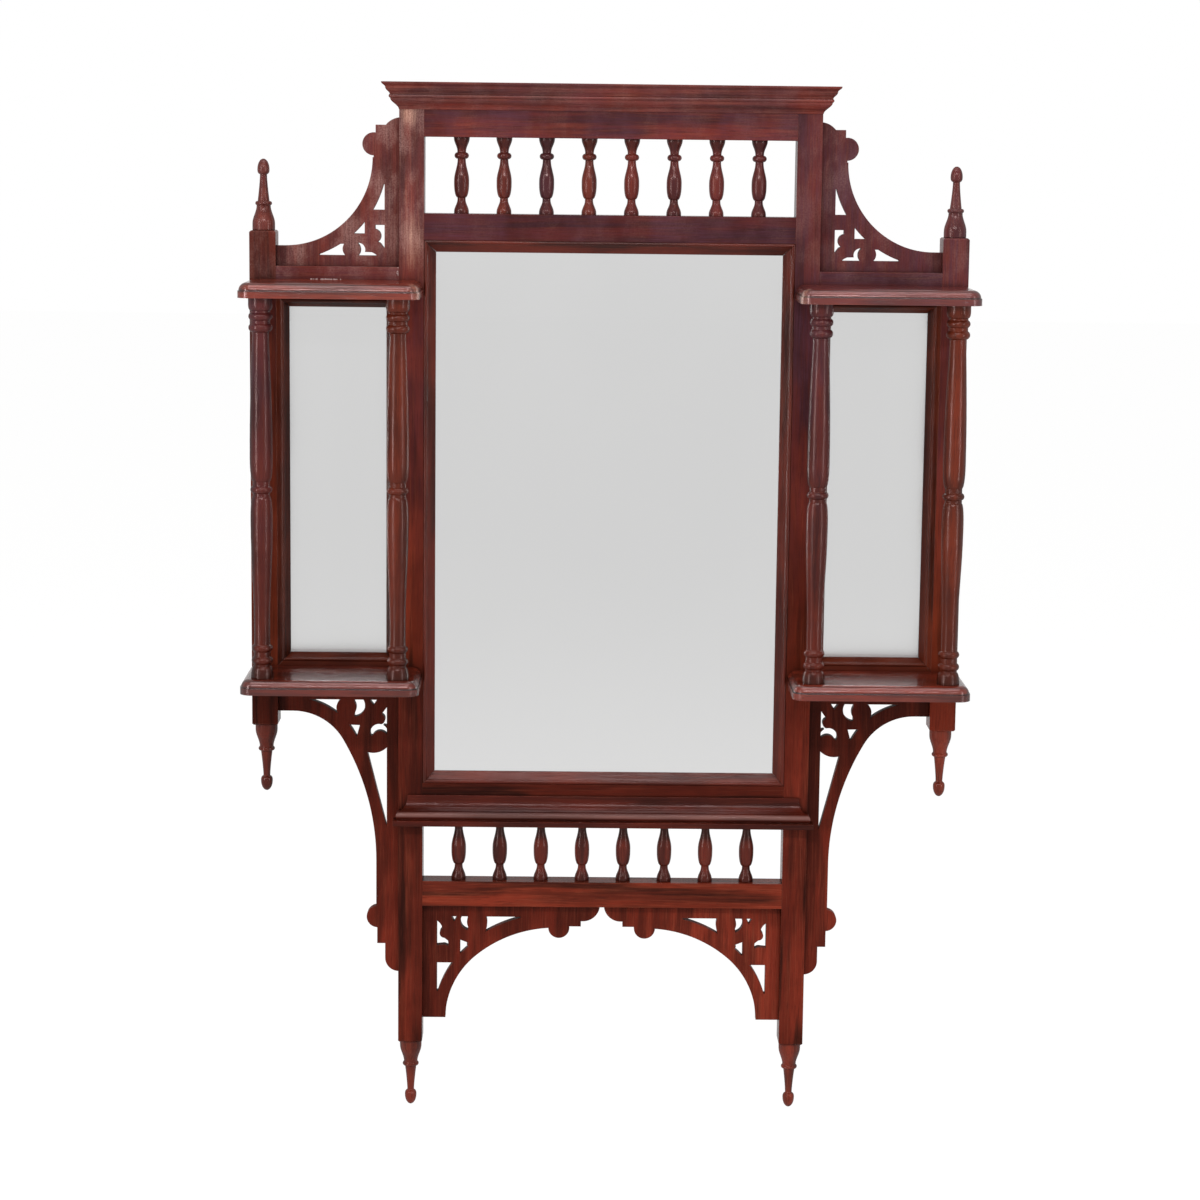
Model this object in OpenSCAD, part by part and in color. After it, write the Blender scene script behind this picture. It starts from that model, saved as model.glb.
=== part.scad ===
// Traditional turned and fretted hardwood wall mirror with a shelf bay on each side.
// Frame: X to the right, Y towards the wall, Z up, in millimetres.
// The wall is the plane y = 0 and the mirror faces -Y.
// The origin is midway between the two hanger holes, on the wall plane.

/* [Centre frame] */
// Clear width between the two stiles
mirror_w = 374; // [360:1:400]
// Clear height of the large mirror opening
mirror_h = 558; // [545:1:620]
// Width of each stile
stile_w = 25; // [24:0.5:30]
// Depth of stiles and outer posts, front to wall
stile_d = 30; // [29:0.5:36]
// Depth of every rail
rail_d = 24; // [22:0.5:28]
// Height of the top rail
top_rail_h = 54; // [40:1:70]
// Height of the upper spindle gallery
upper_gallery_h = 76; // [66:1:90]
// Height of the rail between upper gallery and mirror
gallery_rail_h = 26.5; // [24:0.5:36]
// Height of the rail below the mirror
mirror_rail_h = 43.5; // [40:0.5:60]
// Height of the lower spindle gallery
lower_gallery_h = 60.5; // [54:0.5:72]
// Height of the lowest rail
lower_rail_h = 26.5; // [24:0.5:36]
// Length of stile below the lowest rail
stile_tail = 147; // [130:1:170]
// Chamfer at the free ends of stiles and posts
end_chamfer = 1.5; // [0.5:0.1:2.5]

/* [Side wings] */
// Clear width between stile and outer post
wing_w = 124; // [118:1:150]
// Width of each outer post
post_w = 26.5; // [25:0.5:32]
// Length of post beyond the wing rails, at both ends
post_horn = 35; // [24:1:50]
// Height of each wing rail
wing_rail_h = 28; // [25:0.5:36]
// Clear height of the side mirror, and of the bay between the shelves
bay_h = 380; // [360:1:420]
// Drop from the top of the stile to the top of the post
wing_drop = 149; // [140:1:175]

/* [Glass and mouldings] */
// Width of the moulding round the large mirror
moulding_w = 12; // [10:0.5:16]
// Width of the moulding round the side mirrors
side_moulding_w = 13; // [10:0.5:16]
// Width of the flat band outside the bead of the side mouldings
side_moulding_band = 4.5; // [3:0.25:5.5]
// Width of the bead of a moulding
moulding_bead = 4; // [3:0.25:5]
// Height the bead stands proud of the frame
bead_proud = 1; // [0.5:0.1:1.5]
// Setback of the glass from the front of the frame
glass_setback = 8; // [7:0.25:9]
// Thickness of the mirror glass
glass_t = 4; // [3:0.5:5]
// Thickness of the plywood backboards
board_t = 4; // [3:0.5:5]
// Width of the rebate that holds a backboard
rebate_w = 7; // [6.8:0.1:8]
// Gap between glass or board and the wood round it
pane_gap = 0.5; // [0.3:0.05:0.6]
// Width of the open hairline at each moulding mitre
mitre_gap = 0.2; // [0.1:0.05:0.4]

/* [Cornice and ledge] */
// Height of the cornice
cornice_h = 27; // [25:0.5:32]
// Projection of the cornice
cornice_out = 17; // [16:0.5:22]
// Height of the ledge moulding below the mirror
ledge_h = 30; // [28:0.5:33]
// Projection of the ledge moulding
ledge_out = 17; // [15:0.5:20]
// Distance of the ledge above the bottom of its rail
ledge_lift = 1.5; // [0.5:0.1:2.5]
// Inset of the top edge of the ledge from the outside of the stile
ledge_inset = 12; // [10:0.5:14]

/* [Shelves and columns] */
// Depth of each shelf from the front of the frame
shelf_d = 92; // [80:1:110]
// Thickness of each shelf
shelf_t = 15; // [13.5:0.5:20]
// Radius of the rounded nose on the shelf edge
nose_r = 8; // [6:0.5:9]
// Step below the rounded nose
nose_step = 1; // [0.5:0.1:1.5]
// Radius of the front corners of a shelf in plan
shelf_corner_r = 13; // [12:0.5:18]
// Overhang of the shelf past the outer post
shelf_over = 3.5; // [1:0.5:10]
// Setback of the shelf end from the mirror side of the stile
shelf_inset = 0.5; // [0.5:0.5:3]
// Distance of the column axes from the shelf edges
column_inset = 21.5; // [19:0.5:26]
// Diameter of a column at its cap
column_cap_d = 24; // [22:0.5:26]
// Diameter of a column at the fullest part of its upper shaft
column_belly_d = 22.6; // [20:0.2:24]

/* [Turnings] */
// Distance between neighbouring spindle axes
spindle_pitch = 42.8; // [36:0.2:46]
// Diameter of a spindle at its fullest part
spindle_d = 15.2; // [13:0.2:17]
// Diameter of a spindle at its necks
spindle_neck_d = 8.2; // [7.4:0.2:9]
// Height of the plain collar at the top of a lower spindle
spindle_cap_h = 3.5; // [2:0.5:6]
// Length of each finial
finial_len = 71.5; // [64:0.5:84]
// Diameter of a finial at its base
finial_d = 22.8; // [20:0.2:24]

/* [Brackets] */
// Thickness of the fretted brackets
bracket_t = 10; // [8:0.5:12]
// Setback of the brackets from the front of the frame
bracket_set = 10; // [4:0.5:12]
// Height of the upper wing brackets
upper_bracket_h = 149; // [146:0.5:156]
// Height of the lower wing brackets
lower_bracket_h = 298; // [290:1:320]
// Height of the two centre brackets
centre_bracket_h = 122.5; // [118:0.5:128]
// Gap between the tips of the two centre brackets
centre_gap = 0.5; // [0.2:0.1:1.5]
// Width of the upper bracket beside the stile
upper_stem_w = 27.2; // [26:0.2:30]
// Width of the lower bracket beside the stile
lower_stem_w = 23.5; // [22:0.5:26]
// Width of the centre bracket beside the stile
centre_stem_w = 25.5; // [24:0.5:28]
// Height of the upper bracket against the outer post
upper_root_h = 20; // [18:0.5:22]
// Straight start of the upper arch, measured from the outer post
upper_arch_flat = 7.6; // [4:0.2:12]
// Height of the lower bracket against the outer post
lower_root_h = 21.5; // [19:0.1:24]
// Distance from the wing rail to the end of the long arch of the lower bracket
lower_arch_h = 179; // [170:1:190]
// Straight start of the long arch, measured from the outer post
lower_arch_flat = 15; // [10:0.5:20]
// Turn taken by the tight part of the long arch
lower_arch_turn = 60; // [55:1:65]
// Radius of the centre arch beside the stile
centre_arch_r = 89; // [85:0.5:93]
// Radius of the centre arch towards the middle
centre_flank_r = 130; // [120:1:150]
// Radius of the round knobs on the bracket edges
knob_r = 11.5; // [10:0.25:12]

/* [Fretwork] */
// Width of the arched band of the upper brackets
upper_band = 14.6; // [13:0.2:16]
// Width of the arched band of the lower brackets
lower_band = 13.8; // [13:0.2:15]
// Width of the arched band of the centre brackets beside the stile
centre_band = 12.4; // [11.6:0.2:13.6]
// Width of the arched band of the centre brackets towards the middle
centre_flank_band = 15.2; // [14:0.2:16]
// Width of the fret bar beside the stile, upper brackets
upper_stile_bar = 15.2; // [14:0.2:16]
// Width of the fret bar beside the stile, lower brackets
lower_stile_bar = 12.6; // [11.6:0.2:13.6]
// Width of the fret bar beside the stile, centre brackets
centre_stile_bar = 14.9; // [14:0.1:16]
// Height of the fret bar along the rail, upper brackets
upper_rail_bar = 10.8; // [9.6:0.2:11.6]
// Height of the fret bar along the rail, lower brackets
lower_rail_bar = 9.2; // [8:0.2:10]
// Height of the fret bar along the rail, centre brackets
centre_rail_bar = 13.5; // [12.5:0.1:14.5]

/* [Joints and fixings] */
// Length of each rail tenon
tenon_len = 9; // [7:0.5:9]
// Thickness of each rail tenon
tenon_t = 6; // [5:0.25:6.5]
// Shoulder above and below each rail tenon
tenon_shoulder = 5; // [4:0.5:7]
// Clearance round hidden tenons, spigots and screws
joint_gap = 0.2; // [0.1:0.05:0.3]
// Diameter of the spigots of columns and finials
spigot_d = 8; // [7:0.25:9]
// Diameter of the spigots of the spindles
spindle_spigot_d = 6; // [5:0.25:7]
// Length of each spigot
spigot_len = 8; // [6:0.5:8.5]
// Drop from the top of the stile to the hanger holes
hanger_drop = 60; // [45:1:75]
// Width of the keyhole hanger plates
plate_w = 20; // [19:0.5:21]
// Height of the keyhole hanger plates
plate_h = 46; // [44:0.5:56]
// Thickness of the keyhole hanger plates
plate_t = 2; // [1.5:0.1:2.5]
// Radius of the round entry of a keyhole
keyhole_r = 5; // [4.5:0.1:5.5]
// Half width of the keyhole slot
keyhole_slot_r = 2.25; // [2:0.05:2.5]
// Rise of the keyhole slot above its entry
keyhole_rise = 12; // [9:0.5:12]
// Depth of the pocket behind a keyhole
pocket_d = 10; // [8:0.5:12]
// Shank radius of the small screws
small_screw_r = 1.4; // [1.2:0.05:1.5]
// Head radius of the small screws
small_head_r = 2.8; // [2.4:0.1:2.9]
// Length of the small screws
small_screw_len = 12; // [10:0.5:13]
// Shank radius of the shelf screws
shelf_screw_r = 1.75; // [1.5:0.05:1.9]
// Head radius of the shelf screws
shelf_head_r = 3.2; // [3:0.05:3.5]
// Length of the shelf screws
shelf_screw_len = 36; // [30:1:45]
// Depth of the counterbore behind each shelf screw
counterbore_d = 12; // [8:0.5:14]

/* [Hidden] */
$fn = 96;
cut = 1;
spindle_count = 8;
arc_steps = 18;
curve_steps = 8;

wood = [0.36, 0.14, 0.10];
turned_wood = [0.40, 0.15, 0.10];
mirror_tone = [0.82, 0.84, 0.85];
ply_tone = [0.70, 0.55, 0.38];
steel_tone = [0.62, 0.62, 0.64];

half_in = mirror_w / 2;
half_out = half_in + stile_w;
post_in = half_out + wing_w;
post_out = post_in + post_w;
stile_x = half_in + stile_w / 2;
post_x = post_in + post_w / 2;
front_y = -stile_d;
rail_back_y = front_y + rail_d;
member_y = -stile_d / 2;
spindle_y = front_y + rail_d / 2;

stile_top = hanger_drop;
gallery_top = stile_top - top_rail_h;
gallery_low = gallery_top - upper_gallery_h;
mirror_top = gallery_low - gallery_rail_h;
mirror_low = mirror_top - mirror_h;
low_gallery_top = mirror_low - mirror_rail_h;
low_gallery_low = low_gallery_top - lower_gallery_h;
frame_low = low_gallery_low - lower_rail_h;
stile_low = frame_low - stile_tail;
post_top = stile_top - wing_drop;
wing_top = post_top - post_horn;
bay_top = wing_top - wing_rail_h;
bay_low = bay_top - bay_h;
wing_low = bay_low - wing_rail_h;
post_low = wing_low - post_horn;

glass_y = front_y + glass_setback;
lip_back = glass_y + glass_t;
board_back = lip_back + board_t;
lip_t = lip_back - front_y;
board_lap = rebate_w - pane_gap;
screw_edge = board_lap / 2;
tenon_y = front_y + lip_t / 2;

shelf_in = half_in + shelf_inset;
shelf_out = post_out + shelf_over;
shelf_front = front_y - shelf_d;
shelf_screw_drop = shelf_t / 2;
column_y = shelf_front + column_inset;
column_in_x = shelf_in + column_inset;
column_out_x = shelf_out - column_inset;

keyhole_sink = 1;
plate_mid = keyhole_rise / 2 - keyhole_sink;
plate_screw_inset = 5;
pocket_r = 6.5;
hole_spare = 0.5;
screw_corner = 60;
screw_quarter = mirror_w / 4;
slot_w = 0.8;
slot_deep = 0.6;
moulding_lip = 0.8;

// Points along an arc, from angle a0 to angle a1
function arc(c, r, a0, a1, n = arc_steps) =
    [for (i = [0:n]) let(a = a0 + (a1 - a0) * i / n) [c[0] + r * cos(a), c[1] + r * sin(a)]];

// Points [radius, height] along an S curve between two levels
function ease(r0, z0, r1, z1, n = curve_steps) =
    [for (i = [0:n]) [r0 + (r1 - r0) * (1 - cos(180 * i / n)) / 2, z0 + (z1 - z0) * i / n]];

// Points [radius, height] on a quarter ellipse that leaves (r0, z0) along the axis
function shoulder(r0, z0, r1, z1, n = curve_steps) =
    [for (i = [0:n]) [r1 + (r0 - r1) * cos(90 * i / n), z0 + (z1 - z0) * sin(90 * i / n)]];

// Shows the right-hand original for side 1 and its mirror image for side -1
module on_side(side) {
    if (side > 0) children();
    else mirror([1, 0, 0]) children();
}

// Box between two opposite corners
module span_box(low, high) {
    translate(low) cube(high - low);
}

// Rod along Y between two depths
module rod_y(x, z, r, y0, y1) {
    translate([x, y1, z]) rotate([90, 0, 0]) cylinder(r = r, h = y1 - y0);
}

// Rod along Z between two heights
module rod_z(x, y, r, z0, z1) {
    translate([x, y, z0]) cylinder(r = r, h = z1 - z0);
}

// Pilot hole with countersink for a screw whose head is flush at depth y0
module screw_hole(x, z, y0, len, shank_r, head_r) {
    rod_y(x, z, shank_r + joint_gap, y0 - len - hole_spare, y0 + cut);
    translate([x, y0, z]) rotate([90, 0, 0])
        cylinder(r1 = head_r + joint_gap, r2 = shank_r + joint_gap, h = head_r - shank_r);
}

// Slotted countersunk screw with its head flush at depth y0
module screw(x, z, y0, len, shank_r, head_r) {
    head_h = head_r - shank_r;
    translate([x, y0, z]) rotate([90, 0, 0]) difference() {
        rotate_extrude()
            polygon([[0, 0], [head_r, 0], [shank_r, head_h], [shank_r, len - 2 * shank_r], [0, len]]);
        translate([-head_r - cut, -slot_w / 2, -cut])
            cube([2 * (head_r + cut), slot_w, slot_deep + cut]);
    }
}

// Upright member whose chosen free ends are chamfered
module member(x, w, z0, z1) {
    c = end_chamfer;
    intersection() {
        translate([x, 0, 0]) rotate([90, 0, 0]) linear_extrude(stile_d)
            polygon([[-w / 2 + c, z0], [w / 2 - c, z0], [w / 2, z0 + c], [w / 2, z1 - c],
                [w / 2 - c, z1], [-w / 2 + c, z1], [-w / 2, z1 - c], [-w / 2, z0 + c]]);
        translate([x - w / 2, 0, 0]) rotate([90, 0, 90]) linear_extrude(w)
            polygon([[front_y + c, z0], [0, z0], [0, z1], [front_y + c, z1],
                [front_y, z1 - c], [front_y, z0 + c]]);
    }
}

// Tenon of a rail at one end, grown by a clearance for the mortise
module tenon(x_face, dir, z0, z1, grow) {
    span_box([min(x_face, x_face + dir * (tenon_len + grow)), tenon_y - tenon_t / 2 - grow,
            z0 + tenon_shoulder - grow],
        [max(x_face, x_face + dir * (tenon_len + grow)), tenon_y + tenon_t / 2 + grow,
            z1 - tenon_shoulder + grow]);
}

// Plain rail with a tenon at both ends
module rail(x0, x1, z0, z1) {
    span_box([x0, front_y, z0], [x1, rail_back_y, z1]);
    tenon(x0, -1, z0, z1, 0);
    tenon(x1, 1, z0, z1, 0);
}

// Rebate round the back of an opening
module rebate(x0, x1, z0, z1) {
    span_box([x0 - rebate_w, lip_back, z0 - rebate_w], [x1 + rebate_w, cut, z1 + rebate_w]);
}

function spindle_at(i) = (i - (spindle_count + 1) / 2) * spindle_pitch;

// Spigot holes of a whole gallery
module spindle_holes(z0, z1) {
    for (i = [1:spindle_count])
        rod_z(spindle_at(i), spindle_y, spindle_spigot_d / 2 + joint_gap, z0, z1);
}

// [x, z] of the screws of the large backboard
main_screws = concat(
    [for (s = [-1, 1], z = [mirror_low + screw_corner, (mirror_low + mirror_top) / 2,
        mirror_top - screw_corner]) [s * (half_in + screw_edge), z]],
    [for (s = [-1, 1], z = [mirror_low - screw_edge, mirror_top + screw_edge])
        [s * screw_quarter, z]]);

// [x, z] of the screws of the right-hand side backboard
bay_mid_x = (half_out + post_in) / 2;
bay_screws = concat(
    [for (x = [half_out - screw_edge, post_in + screw_edge],
        z = [bay_low + screw_corner, bay_top - screw_corner]) [x, z]],
    [for (z = [bay_low - screw_edge, bay_top + screw_edge]) [bay_mid_x, z]]);

// [x, z] of the right-hand shelf screws
shelf_screws_at = [for (x = [stile_x, post_x], z = [bay_top, bay_low - shelf_t])
    [x, z + shelf_screw_drop]];

// Heights of the hanger plate screws
plate_screws = [plate_mid - plate_h / 2 + plate_screw_inset,
    plate_mid + plate_h / 2 - plate_screw_inset];

module board_screw_holes(spots) {
    for (p = spots)
        screw_hole(p[0], p[1], board_back, small_screw_len, small_screw_r, small_head_r);
}

module shelf_screw_holes() {
    for (p = shelf_screws_at) {
        screw_hole(p[0], p[1], -counterbore_d, shelf_screw_len, shelf_screw_r, shelf_head_r);
        rod_y(p[0], p[1], shelf_head_r + joint_gap, -counterbore_d, cut);
    }
}

module keyhole(r, slot_r, y0, y1) {
    rod_y(stile_x, 0, r, y0, y1);
    rod_y(stile_x, keyhole_rise, slot_r, y0, y1);
    span_box([stile_x - slot_r, y0, 0], [stile_x + slot_r, y1, keyhole_rise]);
}

module finial_hole(x, z0, z1) {
    rod_z(x, member_y, spigot_d / 2 + joint_gap, z0, z1);
}

module stile(side) {
    color(wood) on_side(side) difference() {
        member(stile_x, stile_w, stile_low, stile_top);
        rebate(0, half_in, mirror_low, mirror_top);
        rebate(half_out, post_in, bay_low, bay_top);
        tenon(half_in, 1, gallery_top, stile_top, joint_gap);
        tenon(half_in, 1, mirror_top, gallery_low, joint_gap);
        tenon(half_in, 1, low_gallery_top, mirror_low, joint_gap);
        tenon(half_in, 1, frame_low, low_gallery_low, joint_gap);
        tenon(half_out, -1, bay_top, wing_top, joint_gap);
        tenon(half_out, -1, wing_low, bay_low, joint_gap);
        board_screw_holes(main_screws);
        board_screw_holes(bay_screws);
        shelf_screw_holes();
        finial_hole(stile_x, stile_low - cut, stile_low + spigot_len + hole_spare);
        span_box([stile_x - plate_w / 2 - joint_gap, -plate_t, plate_mid - plate_h / 2 - joint_gap],
            [stile_x + plate_w / 2 + joint_gap, cut, plate_mid + plate_h / 2 + joint_gap]);
        keyhole(pocket_r, pocket_r, -plate_t - pocket_d, -plate_t);
        for (z = plate_screws)
            screw_hole(stile_x, z, 0, small_screw_len, small_screw_r, small_head_r);
    }
}

module top_rail() {
    color(wood) difference() {
        rail(-half_in, half_in, gallery_top, stile_top);
        spindle_holes(gallery_top - cut, gallery_top + spigot_len + hole_spare);
    }
}

module upper_gallery_rail() {
    color(wood) difference() {
        rail(-half_in, half_in, mirror_top, gallery_low);
        rebate(-mirror_w, mirror_w, mirror_low, mirror_top);
        board_screw_holes(main_screws);
        spindle_holes(gallery_low - spigot_len - hole_spare, gallery_low + cut);
    }
}

module mirror_bottom_rail() {
    color(wood) difference() {
        rail(-half_in, half_in, low_gallery_top, mirror_low);
        rebate(-mirror_w, mirror_w, mirror_low, mirror_top);
        board_screw_holes(main_screws);
        spindle_holes(low_gallery_top - cut, low_gallery_top + spigot_len + hole_spare);
    }
}

module lower_rail() {
    color(wood) difference() {
        rail(-half_in, half_in, frame_low, low_gallery_low);
        spindle_holes(low_gallery_low - spigot_len - hole_spare, low_gallery_low + cut);
    }
}

// Cornice section as [projection, height below the top]
cornice_fillet = 0.8;
cornice_crown_out = 3.8;
cornice_crown_h = 4.6;
cornice_step = 1.2;
cornice_quirk = 0.4;
cornice_neck = 9;
cornice_bead_h = 4;
cornice_cyma_h = 11;
cornice_toe = 0.3;
bead_turn = 80;
cornice_mid = cornice_out - cornice_crown_out;
cornice_crown_z = cornice_fillet + cornice_crown_h;
cornice_low = cornice_h - cornice_cyma_h;
function cornice_section(base) = concat(
    [[base, 0], [cornice_out, 0], [cornice_out, cornice_fillet]],
    [for (i = [1:curve_steps]) [cornice_out - cornice_crown_out * pow(sin(90 * i / curve_steps), 2),
        cornice_fillet + cornice_crown_h * i / curve_steps]],
    [[cornice_mid, cornice_crown_z + cornice_step]],
    ease(cornice_mid - cornice_quirk, cornice_crown_z + cornice_step, cornice_neck,
        cornice_low - cornice_bead_h),
    arc([cornice_neck - cornice_bead_h / 4, cornice_low - cornice_bead_h / 2], cornice_bead_h / 2,
        -bead_turn, bead_turn, curve_steps),
    ease(cornice_neck - cornice_quirk, cornice_low, cornice_toe, cornice_h),
    [[base, cornice_h]]);

module cornice() {
    reach = half_out + cornice_out;
    section = cornice_section(-cut);
    color(wood) difference() {
        intersection() {
            translate([-reach, 0, 0]) rotate([90, 0, 90]) linear_extrude(2 * reach)
                polygon(concat([[0, stile_top]],
                    [for (p = section) if (p[0] >= 0) [front_y - p[0], stile_top - p[1]]],
                    [[0, stile_top - cornice_h]]));
            rotate([90, 0, 0]) linear_extrude(stile_d + cornice_out)
                polygon(concat(
                    [for (p = section) if (p[0] >= 0) [half_out + p[0], stile_top - p[1]]],
                    [for (i = [len(section) - 1:-1:0]) let(p = section[i])
                        if (p[0] >= 0) [-half_out - p[0], stile_top - p[1]]]));
        }
        span_box([-half_out, front_y, stile_top - cornice_h - cut], [half_out, cut, stile_top + cut]);
        for (s = [-1, 1]) translate([s * half_out, front_y, stile_top - cornice_h - cut])
            rotate([0, 0, s > 0 ? -45 : -135]) translate([-cut, -mitre_gap / 2, 0])
                cube([2 * cornice_out, mitre_gap, cornice_h + 2 * cut]);
    }
}

// Ledge section as [projection, height below the top]
ledge_fillet = 2.5;
ledge_cove_out = 6.5;
ledge_cove_h = 13;
ledge_foot = 5.5;
ledge_step = 3;
ledge_bead_r = 5.2;
ledge_bead_sink = 1;
ledge_quirk = 0.6;
ledge_bead_start = -70;
ledge_bead_end = 45;
ledge_cove_r = (pow(ledge_cove_out, 2) + pow(ledge_cove_h, 2)) / (2 * ledge_cove_out);
ledge_cove_turn = asin(ledge_cove_h / ledge_cove_r);
ledge_foot_z = ledge_h - ledge_foot;
ledge_bead_x = ledge_out - ledge_step - ledge_bead_r;
ledge_bead_z = ledge_foot_z - ledge_bead_r + ledge_bead_sink;
function ledge_section() = concat(
    [[ledge_fillet, 0]],
    arc([ledge_fillet + ledge_cove_r, ledge_fillet], ledge_cove_r, 180, 180 - ledge_cove_turn,
        curve_steps),
    arc([ledge_bead_x, ledge_bead_z], ledge_bead_r, ledge_bead_start, ledge_bead_end, curve_steps),
    [[ledge_out - ledge_step, ledge_foot_z - ledge_quirk], [ledge_out, ledge_foot_z],
     [ledge_out, ledge_h]]);

module ledge() {
    z_top = low_gallery_top + ledge_lift + ledge_h;
    base = half_out - ledge_inset;
    section = ledge_section();
    color(wood) intersection() {
        translate([-half_out - ledge_out, 0, 0]) rotate([90, 0, 90])
            linear_extrude(2 * (half_out + ledge_out))
                polygon(concat([[front_y, z_top]],
                    [for (p = section) [front_y - p[0], z_top - p[1]]],
                    [[front_y, z_top - ledge_h]]));
        translate([0, front_y, 0]) rotate([90, 0, 0]) linear_extrude(ledge_out + cut)
            polygon(concat(
                [for (p = section) [base + p[0], z_top - p[1]]],
                [for (i = [len(section) - 1:-1:0]) let(p = section[i]) [-base - p[0], z_top - p[1]]]));
    }
}

// Cross section of a glass moulding as [distance from the opening edge, depth]: a flat band
// level with the frame, if it has one, then the bead and the slope down to the glass
module moulding_section(w, band) {
    bead_r = moulding_bead / 2;
    bead_y = front_y - bead_proud + bead_r;
    bead_end = band + moulding_bead;
    polygon([[band, glass_y], [band, bead_y], [bead_end, bead_y], [bead_end, front_y + bead_r / 2],
        [w, glass_y - moulding_lip], [w, glass_y]]);
    translate([band + bead_r, bead_y]) circle(r = bead_r);
    if (band > 0) translate([0, front_y]) square([band + bead_r, glass_y - front_y]);
}

// One mitred side of a moulding, lying on the lower edge of an opening w wide
module moulding_side(w, mould_w, band) {
    reach = mould_w + cut;
    intersection() {
        translate([-w / 2, 0, 0]) rotate([90, 0, 90]) linear_extrude(w)
            mirror([1, -1]) moulding_section(mould_w, band);
        rotate([90, 0, 0]) linear_extrude(2 * stile_d)
            polygon([[-w / 2 + mitre_gap, 0], [w / 2 - mitre_gap, 0],
                [w / 2 - mitre_gap - reach, reach], [-w / 2 + mitre_gap + reach, reach]]);
    }
}

// Four separate mitred sides round an opening
module moulding_ring(x0, x1, z0, z1, mould_w, band) {
    x_mid = (x0 + x1) / 2;
    z_mid = (z0 + z1) / 2;
    for (turn = [0, 180])
        translate([x_mid, 0, z_mid]) rotate([0, turn, 0]) {
            translate([0, 0, -(z1 - z0) / 2]) moulding_side(x1 - x0, mould_w, band);
            rotate([0, 90, 0]) translate([0, 0, -(x1 - x0) / 2])
                moulding_side(z1 - z0, mould_w, band);
        }
}

module main_moulding() {
    color(wood) moulding_ring(-half_in, half_in, mirror_low, mirror_top, moulding_w, 0);
}

module side_moulding(side) {
    color(wood) on_side(side)
        moulding_ring(half_out, post_in, bay_low, bay_top, side_moulding_w, side_moulding_band);
}

module pane(x0, x1, z0, z1) {
    span_box([x0 + pane_gap, glass_y, z0 + pane_gap], [x1 - pane_gap, lip_back, z1 - pane_gap]);
}

module main_glass() {
    color(mirror_tone) pane(-half_in, half_in, mirror_low, mirror_top);
}

module side_glass(side) {
    color(mirror_tone) on_side(side) pane(half_out, post_in, bay_low, bay_top);
}

module board(x0, x1, z0, z1, spots) {
    difference() {
        span_box([x0 - board_lap, lip_back, z0 - board_lap], [x1 + board_lap, board_back, z1 + board_lap]);
        board_screw_holes(spots);
    }
}

module backboards() {
    color(ply_tone) {
        board(-half_in, half_in, mirror_low, mirror_top, main_screws);
        for (side = [-1, 1])
            on_side(side) board(half_out, post_in, bay_low, bay_top, bay_screws);
    }
}

module outer_post(side) {
    color(wood) on_side(side) difference() {
        member(post_x, post_w, post_low, post_top);
        rebate(half_out, post_in, bay_low, bay_top);
        tenon(post_in, 1, bay_top, wing_top, joint_gap);
        tenon(post_in, 1, wing_low, bay_low, joint_gap);
        board_screw_holes(bay_screws);
        shelf_screw_holes();
        finial_hole(post_x, post_low - cut, post_low + spigot_len + hole_spare);
        finial_hole(post_x, post_top - spigot_len - hole_spare, post_top + cut);
    }
}

module wing_rail(side, z0, z1) {
    color(wood) on_side(side) difference() {
        rail(half_out, post_in, z0, z1);
        rebate(half_out - mirror_w, post_in + mirror_w, bay_low, bay_top);
        board_screw_holes(bay_screws);
    }
}

// Shelf with a rounded nose over a plain lower edge, on the front and both ends
module shelf_body(z_low) {
    r = shelf_corner_r;
    ri = r - nose_step;
    low_h = shelf_t - nose_r;
    y_mid = shelf_front + r;
    translate([0, 0, z_low]) {
        span_box([shelf_in, y_mid, 0], [shelf_out, front_y, low_h]);
        span_box([shelf_in + r, shelf_front, 0], [shelf_out - r, front_y, low_h]);
        for (x = [shelf_in + r, shelf_out - r]) rod_z(x, y_mid, r, 0, low_h);
        span_box([shelf_in + r, shelf_front + r, low_h], [shelf_out - r, front_y, shelf_t]);
        intersection() {
            union() {
                for (x = [shelf_in + r, shelf_out - r]) {
                    translate([x, y_mid, low_h]) rotate_extrude() nose_section(ri);
                    translate([x, front_y, low_h]) rotate([90, 0, 0]) linear_extrude(front_y - y_mid)
                        mirror([x > (shelf_in + shelf_out) / 2 ? 0 : 1, 0]) nose_section(ri);
                }
                translate([shelf_in + r, y_mid, low_h]) rotate([90, 0, 90])
                    linear_extrude(shelf_out - shelf_in - 2 * r) mirror([1, 0]) nose_section(ri);
            }
            span_box([shelf_in, shelf_front, low_h], [shelf_out, front_y, shelf_t]);
        }
    }
}

// Section of the nose from a corner centre outwards
module nose_section(reach) {
    intersection() {
        union() {
            square([reach - nose_r, nose_r]);
            translate([reach - nose_r, 0]) circle(r = nose_r);
        }
        square([reach, nose_r]);
    }
}

module shelf(side, z_low, column_end) {
    color(wood) on_side(side) difference() {
        shelf_body(z_low);
        shelf_screw_holes();
        for (x = [column_in_x, column_out_x])
            rod_z(x, column_y, spigot_d / 2 + joint_gap,
                column_end > 0 ? z_low + shelf_t - spigot_len - hole_spare : z_low - cut,
                column_end > 0 ? z_low + shelf_t + cut : z_low + spigot_len + hole_spare);
    }
}

// Half section of a ring on a turning
module ring(z, r_out, h) {
    translate([r_out - h / 2, z]) circle(r = h / 2, $fn = 48);
}

// Points [radius, height] on a quarter ellipse that leaves (r0, z0) sideways
function swell(r0, z0, r1, z1, n = curve_steps) =
    [for (i = [1:n]) [r0 + (r1 - r0) * sin(90 * i / n), z1 + (z0 - z1) * cos(90 * i / n)]];

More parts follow.
